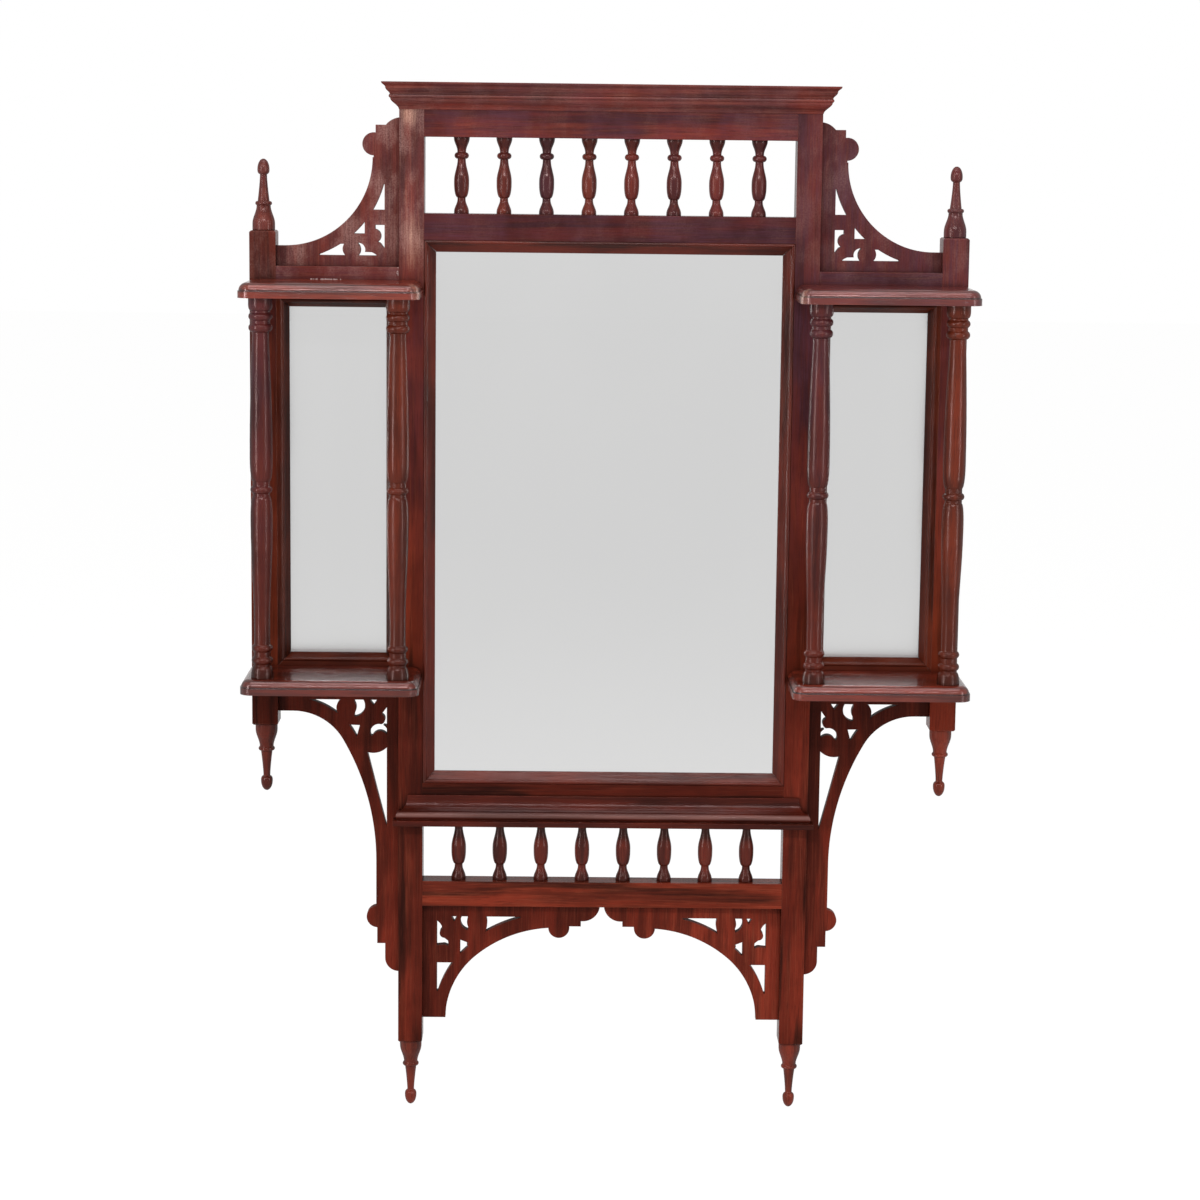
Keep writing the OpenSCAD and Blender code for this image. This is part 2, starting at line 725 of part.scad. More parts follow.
// Points [radius, height] along a shaft that grows fast and then slowly
function shaft(r0, z0, r1, z1, n = curve_steps) =
    [for (i = [1:n]) [r0 + (r1 - r0) * sin(90 * i / n), z0 + (z1 - z0) * i / n]];

// Spigot at one end of a turning, rooted a little way inside it
spigot_root = 1;
module spigot(d, z0, z1) {
    translate([0, 0, min(z0, z1)]) cylinder(d = d, h = abs(z1 - z0));
}

// Column, measured down from the shelf above: cap and collar below that shelf, waist at the
// middle of the bay, ankle and foot above the lower shelf
module column(side, x) {
    middle = -bay_h / 2;
    cap = column_cap_d / 2;
    belly = column_belly_d / 2;
    collar = 0.8 * cap;
    neck = 0.735 * belly;
    waist = neck + 0.2;
    ankle = neck - 0.3;
    low_belly = belly - 0.4;
    cap_end = -7;
    collar_start = -13;
    collar_end = -25;
    neck_start = -33;
    shaft_start = -40;
    shaft_full = middle + 35;
    shaft_turn = middle + 30;
    waist_start = middle + 8;
    waist_end = middle - 7;
    low_full = middle - 27;
    taper_start = middle - 36;
    taper_end = -bay_h + 55;
    ankle_end = -bay_h + 38;
    foot_start = -bay_h + 24;
    foot_end = -bay_h + 12;
    base_full = -bay_h + 1;
    color(turned_wood) on_side(side) translate([x, column_y, bay_top]) {
        rotate_extrude() {
            polygon(concat(
                [[0, 0], [cap, 0], [cap, cap_end]],
                shoulder(cap, cap_end, collar, collar_start),
                [[collar, collar_end], [neck, neck_start], [neck, shaft_start]],
                shaft(neck, shaft_start, belly, shaft_full),
                shoulder(belly, shaft_turn, waist, waist_start),
                [[waist, waist_end]],
                swell(waist, waist_end, low_belly, low_full),
                ease(low_belly, taper_start, ankle, taper_end),
                [[ankle, ankle_end], [waist, foot_start], [waist, foot_end]],
                swell(waist, foot_end, belly, base_full),
                [[belly, -bay_h], [0, -bay_h]]));
            ring(-18.6, cap - 0.2, 8.4);
            ring(-29.6, cap - 0.2, 9);
            ring(middle - 0.3, belly - 0.4, 7.6);
            ring(-bay_h + 30, belly - 0.8, 7.6);
            ring(-bay_h + 17.6, belly - 0.6, 8);
        }
        spigot(spigot_d, -spigot_root, spigot_len);
        spigot(spigot_d, -bay_h + spigot_root, -bay_h - spigot_len);
    }
}

// Lower part of a spindle: swelling vase on a flared foot, from z = 0 down to -h.
// The levels are shares of its height.
vase_full = 0.39;
vase_turn = 0.45;
vase_waist = 0.705;
vase_flare = 0.74;
vase_foot = 0.965;
vase_foot_inset = 0.1;
function vase(h) = let(r = spindle_d / 2, n = spindle_neck_d / 2, foot = r - vase_foot_inset) concat(
    ease(n, 0, r, -vase_full * h),
    shoulder(r, -vase_turn * h, n, -vase_waist * h),
    ease(n, -vase_flare * h, foot, -vase_foot * h),
    [[foot, -h], [0, -h]]);

module spindle_at_place(i, z, h) {
    color(turned_wood) translate([spindle_at(i), spindle_y, z]) {
        children();
        spigot(spindle_spigot_d, -spigot_root, spigot_len);
        spigot(spindle_spigot_d, -h + spigot_root, -h - spigot_len);
    }
}

// Upper spindle: a cup and a ring under the rail, and the vase below them
module upper_spindle(i) {
    h = upper_gallery_h;
    r = spindle_d / 2;
    n = spindle_neck_d / 2;
    vase_top = 22;
    cup_end = -14;
    cup_lip = 0.6;
    spindle_at_place(i, gallery_top, h) rotate_extrude() {
        polygon(concat([[0, 0], [r + 0.5, 0]],
            ease(r + 0.4, -cup_lip, n + 0.3, cup_end),
            [for (p = vase(h - vase_top)) [p[0], p[1] - vase_top]]));
        ring(-18.2, r - 0.35, 6.6);
    }
}

module lower_spindle(i) {
    h = lower_gallery_h;
    r = spindle_d / 2;
    n = spindle_neck_d / 2;
    vase_top = spindle_cap_h + 1;
    spindle_at_place(i, low_gallery_top, h)
        rotate_extrude() polygon(concat([[0, 0], [r - 1, 0]],
            ease(r - 1.2, -0.4, n, -spindle_cap_h),
            [for (p = vase(h - vase_top)) [p[0], p[1] - vase_top]]));
}

// Finial pointing up from z = 0: bell and ring above the base, acorn below the tip, and the
// taper between them. Its radii are shares of the base.
module finial_body() {
    r = finial_d / 2;
    bell = 0.62 * r;
    collar = 0.52 * r;
    stem = 0.31 * r;
    stem_spread = 0.2 * r;
    acorn = 0.535 * r;
    bell_start = 6.5;
    bell_end = 25;
    collar_z = 29;
    stem_start = 30.5;
    acorn_h = 10.5;
    acorn_turn = finial_len - acorn_h;
    acorn_full = acorn_turn - 1;
    acorn_start = acorn_turn - 5;
    stem_h = acorn_start - 0.5 - stem_start;
    rotate_extrude() {
        polygon(concat(
            [[0, 0], [r - 0.4, 0], [r, 0.6]],
            ease(r, bell_start, bell, bell_end),
            [[collar, collar_z]],
            [for (i = [0:curve_steps]) [stem + stem_spread * pow(1 - i / curve_steps, 1.4),
                stem_start + stem_h * i / curve_steps]],
            swell(stem, acorn_start, acorn, acorn_full),
            [for (i = [0:curve_steps - 1]) [acorn * cos(90 * i / curve_steps),
                acorn_turn + acorn_h * sin(90 * i / curve_steps)]],
            [[0, finial_len]]));
        ring(27, 0.74 * r, 4.4);
    }
    spigot(spigot_d, spigot_root, -spigot_len);
}

module finial_up(side, x, z) {
    color(turned_wood) on_side(side) translate([x, member_y, z]) finial_body();
}

module finial_down(side, x, z) {
    color(turned_wood) on_side(side) translate([x, member_y, z]) mirror([0, 0, 1]) finial_body();
}

// Bracket outlines are drawn with u away from the stile and v away from the rail.

// Arch edge of the upper bracket: straight start and a quarter round
upper_arch_r = wing_w - upper_arch_flat - upper_stem_w;
upper_arch_h = upper_root_h + upper_arch_r;
function upper_arch(grow) = concat(
    [[wing_w, upper_root_h - grow]],
    arc([wing_w - upper_arch_flat, upper_arch_h], upper_arch_r + grow, 270, 180, 2 * arc_steps));

// Arch edge of the lower bracket: straight start, tight turn, long flank
lower_run = wing_w - lower_arch_flat - lower_stem_w;
lower_rise = lower_arch_h - lower_root_h;
turn_s = sin(lower_arch_turn);
turn_c = cos(lower_arch_turn);
lower_flank_r = (lower_rise * turn_s - lower_run * (1 - turn_c))
    / (turn_c * turn_s - (1 - turn_c) * (1 - turn_s));
lower_tight_r = (lower_run - lower_flank_r * (1 - turn_s)) / turn_s;
function lower_arch(grow) = concat(
    [[wing_w, lower_root_h - grow]],
    arc([wing_w - lower_arch_flat, lower_root_h + lower_tight_r], lower_tight_r + grow,
        270, 270 - lower_arch_turn),
    arc([lower_stem_w + lower_flank_r, lower_arch_h], lower_flank_r + grow,
        270 - lower_arch_turn, 180));

// Arch edge of the centre bracket: round beside the stile, then a flatter flank
centre_w = half_in - centre_gap / 2;
centre_stem_cut = 1.5;
centre_round = [centre_stem_w + centre_arch_r - centre_stem_cut, centre_bracket_h + 1];
centre_turn = 230;
centre_flank = [centre_round[0] + (centre_arch_r - centre_flank_r) * cos(centre_turn),
    centre_round[1] + (centre_arch_r - centre_flank_r) * sin(centre_turn)];
centre_knob_u = centre_w - 44.5;
centre_knob_lap = 8;
function centre_arch(flank_grow, round_grow) = concat(
    arc(centre_flank, centre_flank_r + flank_grow,
        270 - asin((centre_flank[0] - centre_knob_u + centre_knob_lap) / (centre_flank_r + flank_grow)),
        centre_turn),
    arc(centre_round, centre_arch_r + round_grow, centre_turn, 180));

// Field between the two fret bars and the arched band. Its children are the piercings,
// measured from the corner where the bars meet.
module fret_field(bars, edge) {
    inside = [for (p = edge) if (p[0] > bars[0] && p[1] > bars[1]) p];
    intersection() {
        polygon(concat([bars, [inside[0][0], bars[1]]], inside,
            [[bars[0], inside[len(inside) - 1][1]]]));
        translate(bars) children();
    }
}

// Piercings on both sides of the round lobe on the rail bar. Each circle is [u, v, radius].
module lobe_piercings(lobe, outer, outer_h, crescent, crescent_u) {
    difference() {
        translate([lobe[0], 0]) square([wing_w + mirror_w, outer_h]);
        disc(outer);
    }
    difference() {
        disc(crescent);
        disc(lobe);
        translate([crescent_u, 0]) square(wing_w);
    }
}

module disc(c) {
    translate([c[0], c[1]]) circle(r = c[2]);
}

module upper_fret() {
    lobe_piercings([33.1, 5.8, 9], [33.4, 6.6, 8.9], 11.5, [26.3, 5.8, 6.9], 28.4);
    polygon([[22.5, 0], [20, 3.6], [12.8, 3.4], [9.3, 1.6], [7.5, 0]]);
    difference() {
        polygon([[0, 7.2], [4.2, 12.8], [9.4, 15.2], [9.4, 30.8], [0, 30.8]]);
        disc([10.7, 19.7, 7.2]);
    }
    translate([20, 22]) square(wing_w);
    translate([0, 46]) square([20, wing_w]);
}

module lower_fret() {
    side_lobe = [7.1, 41.5, 8.7];
    lobe_piercings([41.8, 8.6, 10.3], [41.8, 8.6, 10.3], 14.3, [34.4, 6.1, 11.9], 33.3);
    polygon([[9.9, 0], [17.9, 0], [13.6, 5.8]]);
    difference() {
        polygon([[0, 7.8], [4.6, 14], [4.9, 16], [8, 26], [0, 27]]);
        disc([7.2, 20.4, 5.5]);
    }
    difference() {
        intersection() {
            disc([8, 34.4, 9]);
            translate([0, 25]) square([20, 12.8]);
        }
        disc(side_lobe);
    }
    polygon([[27.9, 26.8], [50, 26], [50, 60], [31.5, 40]]);
    difference() {
        polygon([[0, 49.5], [21.4, 49.5], [21, 51.5], [9.6, 97], [0, 134]]);
        disc([14.1, 36.1, 19.9]);
    }
}

module centre_fret() {
    lobe_piercings([41.7, 6, 10.4], [32.5, 7.5, 20], 18.2, [35.1, 4.9, 10.4], 32.4);
    polygon([[15, 0], [21, 0], [18, 5.9]]);
    difference() {
        polygon([[0, 4.5], [3.2, 7.5], [5, 10.5], [5.4, 13], [5.4, 22], [7.3, 23], [11.6, 26.2],
            [12.2, 32.2], [8, 30.6], [0, 31.4]]);
        disc([7.8, 18.3, 5]);
    }
    polygon([[24.3, 25.1], [60, 39], [60, 90], [24.3, 90]]);
    translate([0, 49.8]) square([20, wing_w]);
}

module upper_bracket_shape() {
    knob_v = upper_bracket_h - 26.6;
    step_v = upper_bracket_h - 7.5;
    crown_r = 20.5;
    difference() {
        union() {
            difference() {
                square([wing_w, upper_arch_h]);
                polygon(concat([[wing_w + cut, upper_root_h]], upper_arch(0),
                    [[upper_stem_w, upper_arch_h + cut], [wing_w + cut, upper_arch_h + cut]]));
            }
            square([upper_stem_w - 3, step_v]);
            translate([0, upper_arch_h - cut]) square([upper_stem_w - 1, knob_v - upper_arch_h + cut]);
            translate([upper_stem_w - 1.2, knob_v]) circle(r = knob_r);
            intersection() {
                translate([-2, upper_bracket_h - crown_r + 0.1]) circle(r = crown_r);
                translate([0, step_v - cut]) square([crown_r, upper_bracket_h - step_v + cut]);
            }
        }
        fret_field([upper_stile_bar, upper_rail_bar], upper_arch(upper_band)) upper_fret();
    }
}

module lower_bracket_shape() {
    step_r = 14.2;
    knob_v = lower_bracket_h - 58.5;
    step_v = lower_bracket_h - 30;
    difference() {
        union() {
            difference() {
                square([wing_w, lower_arch_h]);
                polygon(concat([[wing_w + cut, lower_root_h]], lower_arch(0),
                    [[lower_stem_w, lower_arch_h + cut], [wing_w + cut, lower_arch_h + cut]]));
            }
            translate([0, lower_arch_h - cut]) square([lower_stem_w, knob_v - lower_arch_h + cut]);
            square([lower_stem_w - 1, step_v]);
            translate([lower_stem_w - 1.5, knob_v]) circle(r = knob_r);
            square([step_r, lower_bracket_h - step_r]);
            intersection() {
                translate([0, lower_bracket_h - step_r]) circle(r = step_r);
                translate([0, lower_bracket_h - step_r]) square(step_r);
            }
        }
        fret_field([lower_stile_bar, lower_rail_bar],
            concat([[wing_w, lower_root_h - lower_band]],
                [for (p = lower_arch(lower_band)) if (p[1] < 60) p],
                [[lower_stem_w, lower_arch_h - 20]])) lower_fret();
    }
}

module centre_bracket_shape() {
    tip_r = 17.7;
    tip_u = centre_w - 19.5;
    tip_flat = 2.5;
    step_u = centre_w - 21.5;
    step_v = 23.3;
    knob_v = 24.8;
    difference() {
        union() {
            difference() {
                square([centre_knob_u, centre_bracket_h]);
                polygon(concat([[centre_w, 0], [centre_w, knob_v]], centre_arch(0, 0),
                    [[centre_stem_w - centre_stem_cut, centre_bracket_h + 2],
                     [centre_w, centre_bracket_h + 2]]));
            }
            square([step_u, step_v]);
            translate([centre_knob_u - 11, 0]) square([14, step_v + 1.5]);
            translate([centre_knob_u, knob_v]) circle(r = knob_r - 0.5);
            square([tip_u, tip_r]);
            square([centre_w, tip_flat]);
            intersection() {
                translate([tip_u, 0]) circle(r = tip_r);
                translate([tip_u, 0]) square(tip_r);
            }
        }
        fret_field([centre_stile_bar, centre_rail_bar], centre_arch(centre_flank_band, centre_band))
            centre_fret();
    }
}

// Stands a bracket shape up behind the front of the frame, u along X and v along +Z
module stand(x, z, up) {
    translate([x, front_y + bracket_set + bracket_t, z]) rotate([90, 0, 0])
        linear_extrude(bracket_t) scale_v(up) children();
}

module scale_v(up) {
    if (up > 0) children();
    else mirror([0, 1]) children();
}

module upper_bracket(side) {
    color(wood) on_side(side) stand(half_out, wing_top, 1) upper_bracket_shape();
}

module lower_bracket(side) {
    color(wood) on_side(side) stand(half_out, wing_low, -1) lower_bracket_shape();
}

module center_bracket(side) {
    color(wood) on_side(side) translate([half_in, 0, 0]) mirror([1, 0, 0])
        stand(0, frame_low, -1) centre_bracket_shape();
}

module hanger_plates() {
    color(steel_tone) for (side = [-1, 1]) on_side(side) difference() {
        span_box([stile_x - plate_w / 2, -plate_t, plate_mid - plate_h / 2],
            [stile_x + plate_w / 2, 0, plate_mid + plate_h / 2]);
        keyhole(keyhole_r, keyhole_slot_r, -plate_t - cut, cut);
        for (z = plate_screws)
            screw_hole(stile_x, z, 0, small_screw_len, small_screw_r, small_head_r);
    }
}

module board_screws() {
    color(steel_tone) {
        for (p = main_screws)
            screw(p[0], p[1], board_back, small_screw_len, small_screw_r, small_head_r);
        for (side = [-1, 1]) on_side(side) {
            for (p = bay_screws)
                screw(p[0], p[1], board_back, small_screw_len, small_screw_r, small_head_r);
            for (z = plate_screws)
                screw(stile_x, z, 0, small_screw_len, small_screw_r, small_head_r);
        }
    }
}

module shelf_screws() {
    color(steel_tone) for (side = [-1, 1]) on_side(side) for (p = shelf_screws_at)
        screw(p[0], p[1], -counterbore_d, shelf_screw_len, shelf_screw_r, shelf_head_r);
}

stile(-1);  // stile_left
stile(1);  // stile_right
top_rail();
upper_gallery_rail();
mirror_bottom_rail();
lower_rail();
cornice();
ledge();
finial_down(-1, stile_x, stile_low);  // foot_finial_left
finial_down(1, stile_x, stile_low);  // foot_finial_right
main_glass();
main_moulding();
center_bracket(-1);  // center_bracket_left
center_bracket(1);  // center_bracket_right
for (i = [1:spindle_count]) {
    upper_spindle(i);
    lower_spindle(i);
}
outer_post(-1);  // left_post
outer_post(1);  // right_post
finial_up(-1, post_x, post_top);  // left_top_finial
finial_up(1, post_x, post_top);  // right_top_finial
finial_down(-1, post_x, post_low);  // left_drop_finial
finial_down(1, post_x, post_low);  // right_drop_finial
wing_rail(-1, bay_top, wing_top);  // left_top_rail
wing_rail(1, bay_top, wing_top);  // right_top_rail
wing_rail(-1, wing_low, bay_low);  // left_bottom_rail
wing_rail(1, wing_low, bay_low);  // right_bottom_rail
side_moulding(-1);  // left_moulding
side_moulding(1);  // right_moulding
side_glass(-1);  // left_glass
side_glass(1);  // right_glass
shelf(-1, bay_top, -1);  // left_upper_shelf
shelf(1, bay_top, -1);  // right_upper_shelf
shelf(-1, bay_low - shelf_t, 1);  // left_lower_shelf
shelf(1, bay_low - shelf_t, 1);  // right_lower_shelf
column(-1, column_out_x);  // left_column_outer
column(1, column_out_x);  // right_column_outer
column(-1, column_in_x);  // left_column_inner
column(1, column_in_x);  // right_column_inner
upper_bracket(-1);  // left_upper_bracket
upper_bracket(1);  // right_upper_bracket
lower_bracket(-1);  // left_lower_bracket
lower_bracket(1);  // right_lower_bracket
backboards();
hanger_plates();
board_screws();
shelf_screws();
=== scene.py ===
"""Looks of the turned and fretted wall mirror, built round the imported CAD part."""
import math

import bmesh
import bpy
from mathutils import Matrix, Vector


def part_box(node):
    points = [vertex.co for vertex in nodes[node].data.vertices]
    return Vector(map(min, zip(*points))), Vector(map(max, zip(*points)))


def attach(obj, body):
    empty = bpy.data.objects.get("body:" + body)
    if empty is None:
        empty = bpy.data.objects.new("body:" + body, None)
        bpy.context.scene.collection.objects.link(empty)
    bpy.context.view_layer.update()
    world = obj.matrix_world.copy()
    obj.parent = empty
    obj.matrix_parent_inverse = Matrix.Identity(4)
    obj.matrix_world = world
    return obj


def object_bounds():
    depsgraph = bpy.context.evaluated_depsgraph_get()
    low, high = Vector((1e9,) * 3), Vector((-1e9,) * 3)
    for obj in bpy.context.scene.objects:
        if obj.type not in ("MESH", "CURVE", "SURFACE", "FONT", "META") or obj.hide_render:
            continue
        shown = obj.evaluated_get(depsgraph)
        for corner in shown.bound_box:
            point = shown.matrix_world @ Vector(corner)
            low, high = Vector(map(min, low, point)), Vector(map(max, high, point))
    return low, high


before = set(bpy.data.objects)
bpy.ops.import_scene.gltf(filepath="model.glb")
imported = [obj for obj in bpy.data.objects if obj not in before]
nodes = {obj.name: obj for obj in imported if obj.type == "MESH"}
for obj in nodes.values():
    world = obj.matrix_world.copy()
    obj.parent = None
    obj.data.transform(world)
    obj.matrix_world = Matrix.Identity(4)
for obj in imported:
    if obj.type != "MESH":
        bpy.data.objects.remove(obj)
start_low, start_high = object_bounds()
scene = bpy.context.scene


# ---------------------------------------------------------------- shader help

class Shader:
    """A new material, or a new world, whose nodes are added one by one."""

    def __init__(self, name, world=False):
        self.block = bpy.data.worlds.new(name) if world else bpy.data.materials.new(name)
        self.block.use_nodes = True
        self.tree = self.block.node_tree
        self.tree.nodes.clear()
        self.out = self.tree.nodes.new("ShaderNodeOutputWorld" if world else "ShaderNodeOutputMaterial")

    def add(self, kind, inputs=None, **props):
        node = self.tree.nodes.new(kind)
        for key, value in props.items():
            setattr(node, key, value)
        for key, value in (inputs or {}).items():
            self.put(node.inputs[key], value)
        return node

    def put(self, socket, value):
        if isinstance(value, bpy.types.NodeSocket):
            self.tree.links.new(value, socket)
        else:
            socket.default_value = value

    def math(self, operation, a, b=0.0, clamp=False):
        return self.add("ShaderNodeMath", {0: a, 1: b}, operation=operation, use_clamp=clamp).outputs[0]

    def times(self, a, b, clamp=False):
        return self.math("MULTIPLY", a, b, clamp)

    def vector(self, operation, a, b):
        return self.add("ShaderNodeVectorMath", {0: a, 1: b}, operation=operation).outputs[0]

    # Inputs 2 and 3 of a Mix node are its numbers, 4 and 5 its vectors, and 6 and 7 its colours.
    def mix(self, factor, a, b, blend="MIX"):
        return self.add("ShaderNodeMix", {0: factor, 6: a, 7: b},
                        data_type="RGBA", blend_type=blend).outputs[2]

    def mix_value(self, factor, a, b):
        return self.add("ShaderNodeMix", {0: factor, 2: a, 3: b}, data_type="FLOAT").outputs[0]

    def ramp(self, value, low, high, to_low=0.0, to_high=1.0):
        return self.add("ShaderNodeMapRange", {0: value, 1: low, 2: high, 3: to_low, 4: to_high},
                        clamp=True, interpolation_type="SMOOTHSTEP").outputs[0]

    def noise(self, vector, scale, detail=3.0, rough=0.5, distortion=0.0):
        return self.add("ShaderNodeTexNoise", {"Vector": vector, "Scale": scale, "Detail": detail,
                        "Roughness": rough, "Distortion": distortion}).outputs[0]

    def own(self, name):
        """Value of a custom property of the object that carries the material."""
        return self.add("ShaderNodeAttribute", attribute_type="OBJECT", attribute_name=name).outputs["Fac"]

    def where(self):
        return self.add("ShaderNodeTexCoord").outputs["Object"]

    def split(self, vector):
        return self.add("ShaderNodeSeparateXYZ", {0: vector}).outputs

    def scaled(self, vector, x, y, z):
        return self.vector("MULTIPLY", vector, (x, y, z))

    def facing(self):
        """0 where a surface is seen face on, and 1 at a glancing angle."""
        return self.add("ShaderNodeLayerWeight", {"Blend": 0.5}).outputs["Facing"]

    def seen(self):
        """1 for rays of the camera, of reflections and through glass, and 0 for rays that only light."""
        path = self.add("ShaderNodeLightPath")
        return self.math("MAXIMUM", path.outputs["Is Camera Ray"],
                         self.math("MAXIMUM", path.outputs["Is Glossy Ray"],
                                   path.outputs["Is Transmission Ray"]))

    def finished(self, surface):
        self.put(self.out.inputs[0], surface.outputs[0])
        return self.block


def rgb(r, g, b):
    return (r, g, b, 1.0)


# Colours. The mauve is a painted sheen, the veil is dust and also a painted highlight, and the soot is grime
# and also painted shade.
DARK, MID, RED = rgb(0.021, 0.0045, 0.0034), rgb(0.080, 0.0115, 0.0066), rgb(0.150, 0.0185, 0.0100)
LIT, WARM, MAUVE_SHEEN = rgb(0.210, 0.0460, 0.0240), rgb(0.180, 0.0360, 0.0110), rgb(0.068, 0.0260, 0.0390)
DUST_AND_HIGHLIGHT, BARE, SOOT_AND_SHADE = rgb(0.265, 0.1450, 0.1280), rgb(0.470, 0.2700, 0.2000), rgb(0.009, 0.0025, 0.0015)

# Heights in metres from the level of the wall hangers, each pair from where an effect is least to where it is
# full: the orange tint of upright pieces, their upper tone, the painted mauve sheen and the dust.
WARM_RISE, TONE_RISE = (-0.575, -0.54), (-0.56, -0.54)
PAINTED_SHEEN_RISE, DUST_RISE = (-0.52, -0.14), (-0.170, -0.105)
# Distances from the middle of the mirror between which the inner half of a stile turns dark.
STILE_HALVES = (0.2035, 0.1925)
# The radius of the rubbed edges, and how far the painted shade and grime of the corners reach.
EDGE_RADIUS, SHADE_AND_GRIME_REACH = 0.0010, 0.010


def ring_mask(s, where, ring):
    """1 on the upright sides of a moulding and 0 on its level sides.
    ring is (x, half width, z, half height)."""
    x, half_w, z, half_h = ring
    across, _, height = s.split(where)
    off_middle = s.math("SUBTRACT", s.math("ABSOLUTE", across), x)
    from_side = s.math("SUBTRACT", half_w, s.math("ABSOLUTE", off_middle))
    from_end = s.math("SUBTRACT", half_h, s.math("ABSOLUTE", s.math("SUBTRACT", height, z)))
    return s.math("LESS_THAN", from_side, from_end)


def wood(name, along, rough, gloss, tint, bands, grime_and_shade_share=0.62, worn=(), ring=None, rim=0.25, painted_lines=(),
         relief_depth=0.00012, low_at=TONE_RISE):
    """Varnished hardwood: figure, grain and pores along the piece, a painted mauve sheen and dust high up,
    rubbed edges, painted shade and grime in the corners, and bare spots.

    bands is the contrast of the figure and grime_and_shade_share the strength of the painted shade and grime
    in the corners. worn lists bare spots as (x, y, z, radius, strength). ring turns the grain with a
    moulding. rim is the share of the gloss left at a glancing angle. painted_lines lists painted shade in
    grooves and painted highlights on crests as (height, half height, strength, colour).
    Below the two heights of low_at the tone of an upright piece is multiplied by its property "low".
    Lengths are in metres."""
    s = Shader(name)
    seed, tone, dust_amount, warmth = s.own("seed"), s.own("tone"), s.own("dust"), s.own("warm")
    bloom, inner = s.own("bloom"), s.own("inner")
    where = s.where()
    shift = s.add("ShaderNodeCombineXYZ",
                  {0: s.times(seed, 1.31), 1: s.times(seed, 0.77), 2: s.times(seed, 2.13)}).outputs[0]
    place = s.vector("ADD", where, shift)
    wander = s.noise(place, 7.0, 1.0)
    bend = s.add("ShaderNodeCombineXYZ", {0: wander, 1: wander, 2: wander}).outputs[0]
    bent = s.vector("ADD", place, s.scaled(bend, 0.006, 0.006, 0.006))
    upright_side = ring_mask(s, where, ring) if ring else None

    def stretched(share):
        """Place with the scale along the grain cut to a share, which draws the noise out along it."""
        if upright_side is None:
            return s.scaled(bent, share, 1, 1) if along == "X" else s.scaled(bent, 1, 1, share)
        level, upright = s.scaled(bent, share, 1, 1), s.scaled(bent, 1, 1, share)
        return s.add("ShaderNodeMix", {0: upright_side, 4: level, 5: upright}, data_type="VECTOR").outputs[1]

    figure = s.noise(stretched(0.040), 125.0, 2.0, 0.5)
    broad = s.noise(stretched(0.10), 62.0, 2.0, 0.5)
    fine = s.noise(stretched(0.030), 560.0, 4.0, 0.65)
    pores = s.noise(stretched(0.022), 1700.0, 2.0, 0.6)
    blotch = s.noise(place, 16.0, 3.0, 0.55)
    speck = s.noise(place, 800.0, 3.0, 0.6)

    across, _, height = s.split(where)
    if along == "Z":
        warmth = s.times(warmth, s.ramp(height, *WARM_RISE, 0.35, 1.0))
    banding = s.ramp(figure, 0.39, 0.57)
    colour = s.mix(s.math("ADD", s.times(banding, bands), 0.75 * (1.0 - bands)), DARK, MID)
    streaks = s.ramp(broad, 0.43, 0.58, 0.25 * (1.0 - bands), 1.0)
    colour = s.mix(s.times(streaks, 0.90), colour, RED)
    colour = s.mix(s.times(s.ramp(fine, 0.46, 0.72), 0.40), colour, LIT)
    colour = s.mix(s.times(warmth, s.ramp(broad, 0.34, 0.56, 0.40, 1.0)), colour, WARM)

    shaded = s.times(s.ramp(s.math("ABSOLUTE", across), *STILE_HALVES), inner)
    colour = s.mix(s.times(shaded, s.ramp(broad, 0.30, 0.62, 0.85, 0.45)), colour, DARK)
    if along == "Z":
        tone = s.times(tone, s.mix_value(s.ramp(height, *low_at), s.own("low"), 1.0))
    gain = s.times(s.ramp(blotch, 0.3, 0.7, 0.78, 1.20), tone)
    grey = s.add("ShaderNodeCombineColor", {0: gain, 1: gain, 2: gain}).outputs[0]
    colour = s.mix(1.0, colour, grey, "MULTIPLY")

    # Painted sheen: a cloudy mauve on the upper parts that stands for the sheen of light on the varnish.
    sheen_clouds = s.ramp(s.noise(s.scaled(place, 1, 1, 0.5), 26.0, 3.0, 0.55), 0.34, 0.66, 0.40, 1.0)
    sheen_clouds = s.times(sheen_clouds, s.ramp(fine, 0.34, 0.62, 1.0, 0.55))
    sheen_mask = s.times(s.ramp(height, *PAINTED_SHEEN_RISE), sheen_clouds)
    colour = s.mix(s.times(sheen_mask, bloom, clamp=True), colour, MAUVE_SHEEN)
    dark_pore = s.ramp(pores, 0.52, 0.68)
    colour = s.mix(s.times(dark_pore, 0.46), colour, DARK)
    upper = s.ramp(height, *DUST_RISE)
    cloud = s.ramp(s.noise(s.scaled(place, 1, 1, 0.6), 44.0, 4.0, 0.6), 0.38, 0.68)
    grains = s.math("ADD", s.ramp(speck, 0.36, 0.66, 0.20, 0.75), s.ramp(fine, 0.40, 0.70, 0.0, 0.30))
    dusty = s.times(s.times(grains, s.mix_value(cloud, 0.15, 1.0)),
                   s.times(dust_amount, upper), clamp=True)
    colour = s.mix(s.times(dusty, 0.72), colour, DUST_AND_HIGHLIGHT)

    normal = s.add("ShaderNodeNewGeometry").outputs["Normal"]
    round_normal = s.add("ShaderNodeBevel", {"Radius": EDGE_RADIUS}, samples=4).outputs[0]
    turn = s.add("ShaderNodeVectorMath", {0: normal, 1: round_normal},
                 operation="DOT_PRODUCT").outputs["Value"]
    edge = s.ramp(turn, 0.99, 0.86)
    rubbed = s.times(edge, s.ramp(s.noise(place, 55.0, 4.0, 0.6), 0.36, 0.64))
    colour = s.mix(s.times(rubbed, 0.40), colour, LIT)

